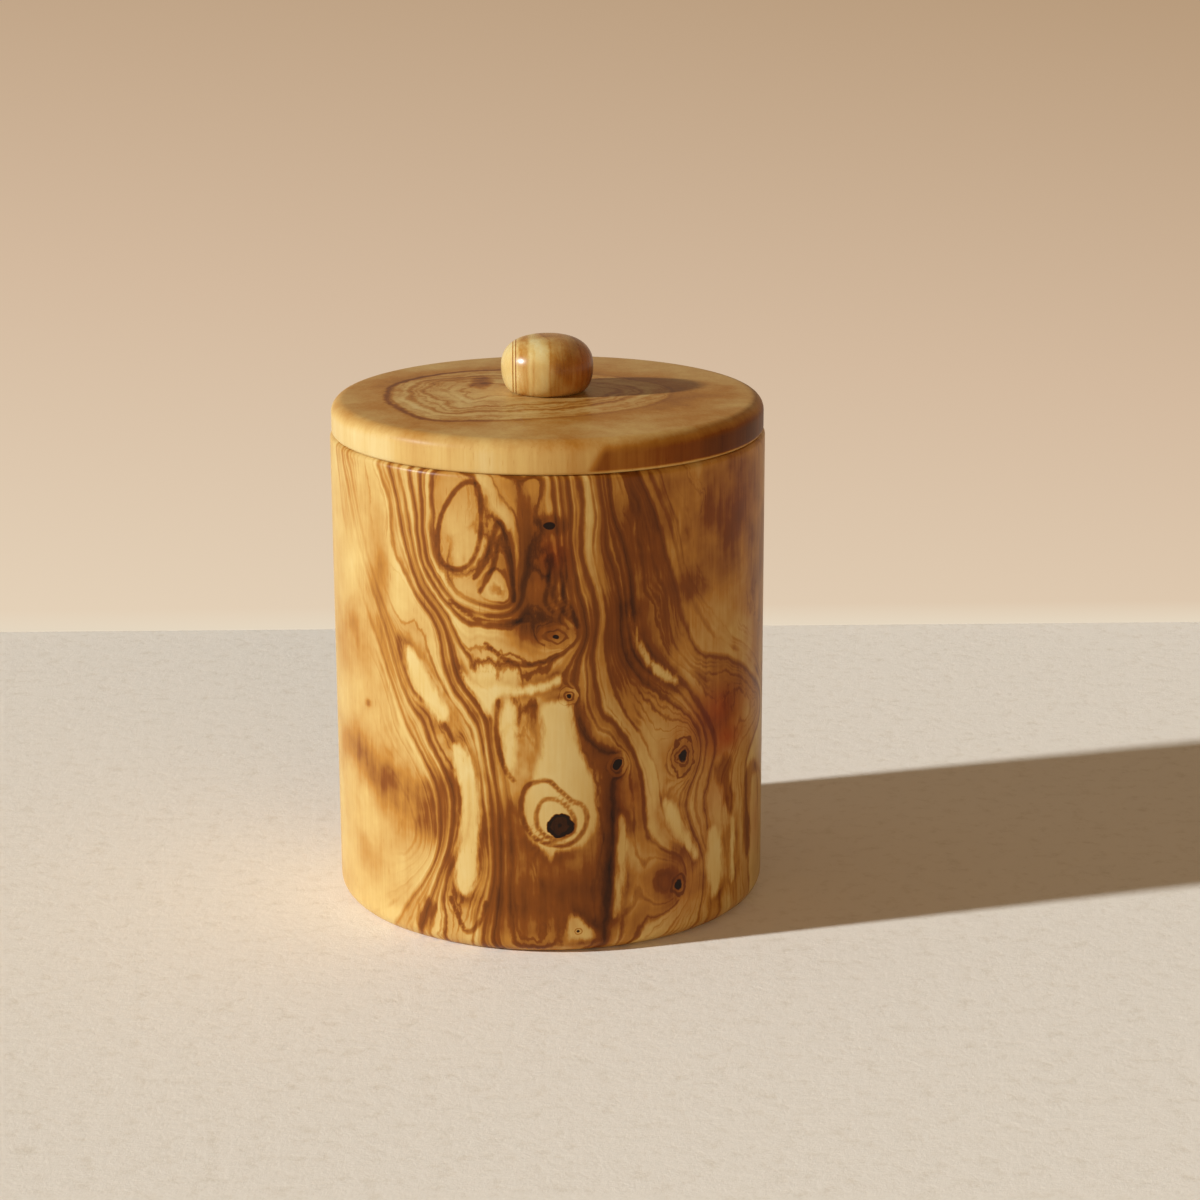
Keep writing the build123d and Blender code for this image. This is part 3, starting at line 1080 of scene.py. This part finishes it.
lid_profile += [(screw_hole, head_bottom + screw_head - screw_hole), hole_start]
lid_spacing = 1.2 * mm

# The lid's figure in mm across and back: the edge of the paler middle, and the lines in it.
middle_edge = [
    (-31, 0), (-30.5, 8), (-27, 14), (-22, 18.5), (-16, 21.5), (-6, 22), (2, 20), (9, 16.5),
    (16, 12), (22, 6), (24, 0), (22.5, -8), (18, -15), (11, -20), (3, -23.5), (-6, -25.5),
    (-15, -25.5), (-21, -24.5), (-25, -20.5), (-28.5, -13), (-30.8, -6),
]
lid_lines = [
    (0, [
        (-33, 10), (-34, 0), (-32.5, -10), (-29, -20), (-23, -27), (-12, -29), (0, -27.5),
        (10, -24), (20, -17), (26, -6), (26, 4),
    ]),
    (1, [(-28, 10), (-29.5, 0), (-28.5, -8), (-25.5, -16), (-21.5, -21.5)]),
    (2, [(-25, 11), (-27, 2), (-26, -6), (-23.5, -13), (-20, -19)]),
    (3, [(-21.5, 11), (-23.5, 4), (-23, -2), (-20.5, -8), (-18, -14)]),
    (4, [(-18, 9), (-20, 3), (-19.5, -2), (-17.5, -7), (-16, -12)]),
    (5, [(-15.5, 7), (-17, 2), (-16, -4), (-14.6, -9)]),
    (1, [(-14, -22.5), (-4, -22.3), (6, -19.5), (14, -14.5), (20, -7)]),
    (2, [(-14, -18), (-6, -18.4), (2, -17), (9, -13.5), (15, -7.5), (18, -2)]),
    (3, [(-13, -14), (-6, -13.5), (0, -12.5), (6, -10.5), (11, -6.5), (14, 0)]),
    (4, [(-13, -9.5), (-8, -9), (-3, -8.6), (3, -7.6), (8, -4)]),
    (5, [(-12, -3), (-8, -4), (-3, -5), (2, -3), (3, 3)]),
    (1, [(-20, 16), (-12, 19.5), (-2, 18), (8, 13), (17, 7)]),
    (3, [(-14, 13), (-6, 12.5), (2, 10), (9, 5)]),
]


def mark_lid(piece):
    """Keeps the figure on the corners of the lid's mesh; it runs straight down through the lid."""
    places, normals = corners_of(piece)
    flat_lines = [
        (level, np.pad(smooth_line(points, steps=2), ((0, 0), (0, 1))))
        for level, points in lid_lines
    ]
    level, slope = make_growth_field(flat_lines)(places * (1, 1, 0))
    keep_field(piece, "growth", level)
    keep_field(piece, "line_gap", line_gap(slope, normals))
    keep_field(piece, "middle_edge", nearest_patch(places[:, :2], [middle_edge]))


def make_lid_wood():
    """Olive wood with a lined, paler middle on the lid's top and long streaks round its side."""
    material, tree, shader = new_material("olive_wood_lid")
    where = in_millimetres(tree)
    down = in_millimetres(tree, (1, 1, 0.08))
    lines = use_group(
        tree,
        growth_lines,
        {
            "Where": in_millimetres(tree, (1.6, 1.6, 0.3)),
            "Growth": read_field(tree, "growth"),
            "Line Gap": read_field(tree, "line_gap"),
            "Wander": 0.9,
            "Line Width": 0.42,
        },
    )
    flat = add_node(tree, "ShaderNodeSeparateXYZ", {0: where}).outputs
    ragged = noise(tree, where, 0.5, 3.0)
    edge = calc(tree, "MULTIPLY_ADD", ragged, 1.4, read_field(tree, "middle_edge"))
    middle = ease(tree, edge, -0.5, 0.3, 1.0, 0.0)
    left = ease(tree, flat["X"], -28.0, 10.0, 1.0, 0.25)
    outline = ease(tree, calc(tree, "ABSOLUTE", edge), 0.15, 1.3, 1.0, 0.0)
    halo = ease(tree, edge, 0.0, 9.0, 1.0, 0.0)
    outside = calc(tree, "SUBTRACT", 1.0, middle)
    top = ease(tree, flat["Z"], (lid_edge_top - 3 * mm) / mm, lid_edge_top / mm)
    streaks = noise(tree, in_millimetres(tree, (1, 1, 0.04)), 0.33, 4.0, 0.6)
    wide = noise(tree, in_millimetres(tree, (1, 1, 0.02)), 0.05, 2.0)

    # The side is darker at the front right: darker wood from a slanting edge on,
    # and painted shade that grows towards the right. It is paler at the far left.
    side = calc(tree, "SUBTRACT", 1.0, top)
    lean = calc(tree, "MULTIPLY_ADD", flat["Z"], -0.5, calc(tree, "ADD", flat["X"], 48.0))
    lean = calc(tree, "MULTIPLY_ADD", wide, 4.0, lean)
    right = ease(tree, lean, 7.6, 10.2, 0.0, 0.62)
    # Painted shade: from 10 mm to 40 mm right of the middle, the front of the side darkens more and
    # more.
    right = calc(tree, "ADD", right, ease(tree, flat["X"], 10.0, 40.0, 0.0, 0.38))
    front = ease(tree, flat["Y"], -4.0, 12.0, 1.0, 0.0)
    above = ease(tree, flat["Z"], jar_height / mm + 0.3, jar_height / mm + 0.9)
    right = times(tree, right, times(tree, front, above))
    left_pale = ease(tree, flat["X"], -38.0, -18.0, 1.0, 0.0)
    outer = calc(tree, "MULTIPLY_ADD", halo, 0.10, 0.08)
    outer = times(tree, outside, outer)

    # A brown smudge lies behind and to the left of the knob
    smudge_across = calc(tree, "DIVIDE", calc(tree, "ADD", flat["X"], 13.0), 2.2)
    smudge_back = calc(tree, "DIVIDE", calc(tree, "SUBTRACT", flat["Y"], 9.0), 6.5)
    smudge = calc(tree, "POWER", smudge_across, 2.0)
    smudge = calc(tree, "ADD", smudge, calc(tree, "POWER", smudge_back, 2.0))
    smudge = ease(tree, calc(tree, "MULTIPLY_ADD", ragged, 1.6, smudge), 0.0, 1.6, 1.0, 0.0)

    total = add_parts(tree, 0.20, [(streaks, 0.20), (wide, 0.42)])
    masked_parts = [
        (right, side, 0.50),
        (left_pale, side, -0.12),
        (outer, top, 1.0),
        (lines["Lines"], middle, 0.16),
        (lines["Bands"], middle, 0.07),
        (outline, left, 0.26),
        (smudge, middle, 0.26),
    ]
    for part, mask, weight in masked_parts:
        total = calc(tree, "MULTIPLY_ADD", times(tree, part, mask), weight, total)
    figure = {"Where": where, "Darkness": total, "Redness": 0.12, "Along Grain": down}
    coat_wood(tree, shader, figure, specular=0.08)
    return material


lid = turn_piece("turned_lid", fill_in(lid_profile, lid_spacing), round_turns, make_lid_wood())
mark_lid(lid)
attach(lid, "lid")
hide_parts("lid")


# Knob: a small flattened ball of olive wood with upright grain, turned on its own and polished.
# It stands on a flat seat in the middle of the lid and is held from below by the screw.
knob_radius = knob_high.x
knob_bottom = knob_low.z
knob_widest = knob_bottom + 5.2 * mm
knob_top_flat = 2.6 * mm
knob_crown = 0.4 * mm
knob_fullness = 0.62
knob_turns = 160
knob_spacing = 0.6 * mm


def bezier(*handles, steps=14):
    """Points of a curve with four handles, as (radius, height)."""
    points = []
    for step in range(steps + 1):
        t = step / steps
        weights = ((1 - t) ** 3, 3 * t * (1 - t) ** 2, 3 * t**2 * (1 - t), t**3)
        sums = [sum(w * place for w, place in zip(weights, places)) for places in zip(*handles)]
        points.append(tuple(sums))
    return points


shoulder = knob_high.z - knob_crown
knob_profile = [(0, knob_bottom)]
knob_profile += bezier(
    (knob_seat, knob_bottom),
    (knob_seat + knob_fullness * (knob_radius - knob_seat), knob_bottom),
    (knob_radius, knob_widest - knob_fullness * (knob_widest - knob_bottom)),
    (knob_radius, knob_widest),
)
knob_profile += bezier(
    (knob_radius, knob_widest),
    (knob_radius, knob_widest + knob_fullness * (shoulder - knob_widest)),
    (knob_top_flat + knob_fullness * (knob_radius - knob_top_flat), shoulder),
    (knob_top_flat, knob_high.z - knob_crown / 4),
)[1:]
knob_profile += [(knob_top_flat / 2, knob_high.z - knob_crown / 16), (0, knob_high.z)]


def make_knob_wood():
    """Olive wood with upright grain: a dark band and a fine pair of lines left of the middle, with
    painted shade on its upper right and right side.
    """
    material, tree, shader = new_material("olive_wood_knob")
    where = in_millimetres(tree)
    upright = in_millimetres(tree, (1, 1, 0.12))
    flat = add_node(tree, "ShaderNodeSeparateXYZ", {0: where}).outputs
    level = calc(tree, "MULTIPLY_ADD", flat["X"], 0.30, 0.45)
    level = calc(tree, "MULTIPLY_ADD", flat["Y"], 0.06, level)
    growth = {"Where": upright, "Growth": level, "Line Gap": 3.2, "Wander": 1.0, "Line Width": 0.2}
    lines = use_group(tree, growth_lines, growth)
    band_place = calc(tree, "DIVIDE", calc(tree, "ADD", flat["X"], 4.6), 1.5)
    band = ease(tree, calc(tree, "ABSOLUTE", band_place), 0.3, 1.1, 1.0, 0.0)
    pin_place = calc(tree, "ABSOLUTE", calc(tree, "ADD", flat["X"], 6.35))
    pin_place = calc(tree, "ABSOLUTE", calc(tree, "SUBTRACT", pin_place, 0.28))
    pins = ease(tree, pin_place, 0.04, 0.16, 1.0, 0.0)
    streaks = noise(tree, upright, 0.4, 3.0, 0.5)
    soft = noise(tree, where, 0.12, 2.0)
    # Painted shade: the knob is darker at its upper right, beyond a slanting line, and redder
    # towards its right side, where shade falls on it.
    right = ease(tree, flat["X"], 0.0, 9.0)
    up = calc(tree, "SUBTRACT", flat["Z"], knob_widest / mm)
    slant = calc(tree, "MULTIPLY_ADD", up, 0.8, calc(tree, "SUBTRACT", flat["X"], 1.2))
    shade = ease(tree, calc(tree, "MULTIPLY_ADD", soft, 3.0, slant), 0.0, 2.4)
    parts = [(streaks, 0.22), (soft, 0.35), (band, 0.18), (pins, 0.40), (shade, 0.16)]
    parts += [(lines["Lines"], 0.08), (lines["Bands"], 0.07)]
    total = add_parts(tree, 0.15, parts)
    # Painted shade: redder towards the right side, which is in shade.
    redness = times(tree, right, 0.6)
    figure = {"Where": where, "Darkness": total, "Redness": redness, "Along Grain": upright}
    coat_wood(tree, shader, figure, specular=0.35, smoother=0.10, strength=0.2)
    return material


knob = turn_piece("turned_knob", fill_in(knob_profile, knob_spacing), knob_turns, make_knob_wood())
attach(knob, "lid")
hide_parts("knob")


# Knob screw: a zinc plated steel wood screw, driven up through the lid into the knob.
# Its cone head ends just inside the face of the spigot and shows when the lid is lifted.
def make_screw_steel():
    """Zinc plated steel with fine rolled rings and faint blotches."""
    material, tree, shader = new_material("screw_steel")
    where = in_millimetres(tree)
    flat = add_node(tree, "ShaderNodeSeparateXYZ", {0: where}).outputs
    out = calc(tree, "ADD", *(calc(tree, "POWER", flat[axis], 2.0) for axis in "XY"))
    out = times(tree, calc(tree, "SQRT", out), 6.0)
    turned = {"X": out, "Z": times(tree, flat["Z"], 4.0)}
    marks = noise(tree, add_node(tree, "ShaderNodeCombineXYZ", turned).outputs[0], 1.0, 3.0)
    blotches = noise(tree, where, 0.8, 3.0)
    tone = add_parts(tree, 0.5, [(blotches, 0.5), (marks, 0.5)])
    feed(
        tree,
        shader,
        {
            "Base Color": paint_ramp(tree, tone, [(0.0, "#9FA2A3"), (1.0, "#CFCDC4")]),
            "Metallic": 1.0,
            "Roughness": add_parts(tree, 0.34, [(blotches, 0.15), (marks, 0.15)]),
            "Normal": relief(tree, marks, 0.2, 0.03 * mm),
        },
    )
    return material


bpy.data.objects["knob_screw"].material_slots[0].material = make_screw_steel()


# Seal ring: a moulded band of milky silicone with two fins.
# It is stretched into the groove of the spigot, and its fins reach towards the wall of the mouth.
def make_seal_silicone():
    """Milky silicone, a little clear, hazy and with fine dust."""
    material, tree, shader = new_material("seal_silicone")
    where = in_millimetres(tree)
    haze = noise(tree, where, 0.12, 3.0)
    dust = noise(tree, where, 2.2, 3.0)
    tone = calc(tree, "MULTIPLY_ADD", haze, 0.9, 0.5)
    feed(
        tree,
        shader,
        {
            "Base Color": paint_ramp(tree, tone, [(0.0, "#D5CFC0"), (1.0, "#E8E4DA")]),
            "Subsurface Weight": 0.15,
            "Subsurface Scale": 1.0 * mm,
            "Roughness": calc(tree, "MULTIPLY_ADD", dust, 0.2, 0.48),
            "Normal": relief(tree, dust, 0.1, 0.02 * mm),
        },
    )
    return material


bpy.data.objects["seal_ring"].material_slots[0].material = make_seal_silicone()


bpy.context.scene.view_settings.view_transform = "Standard"
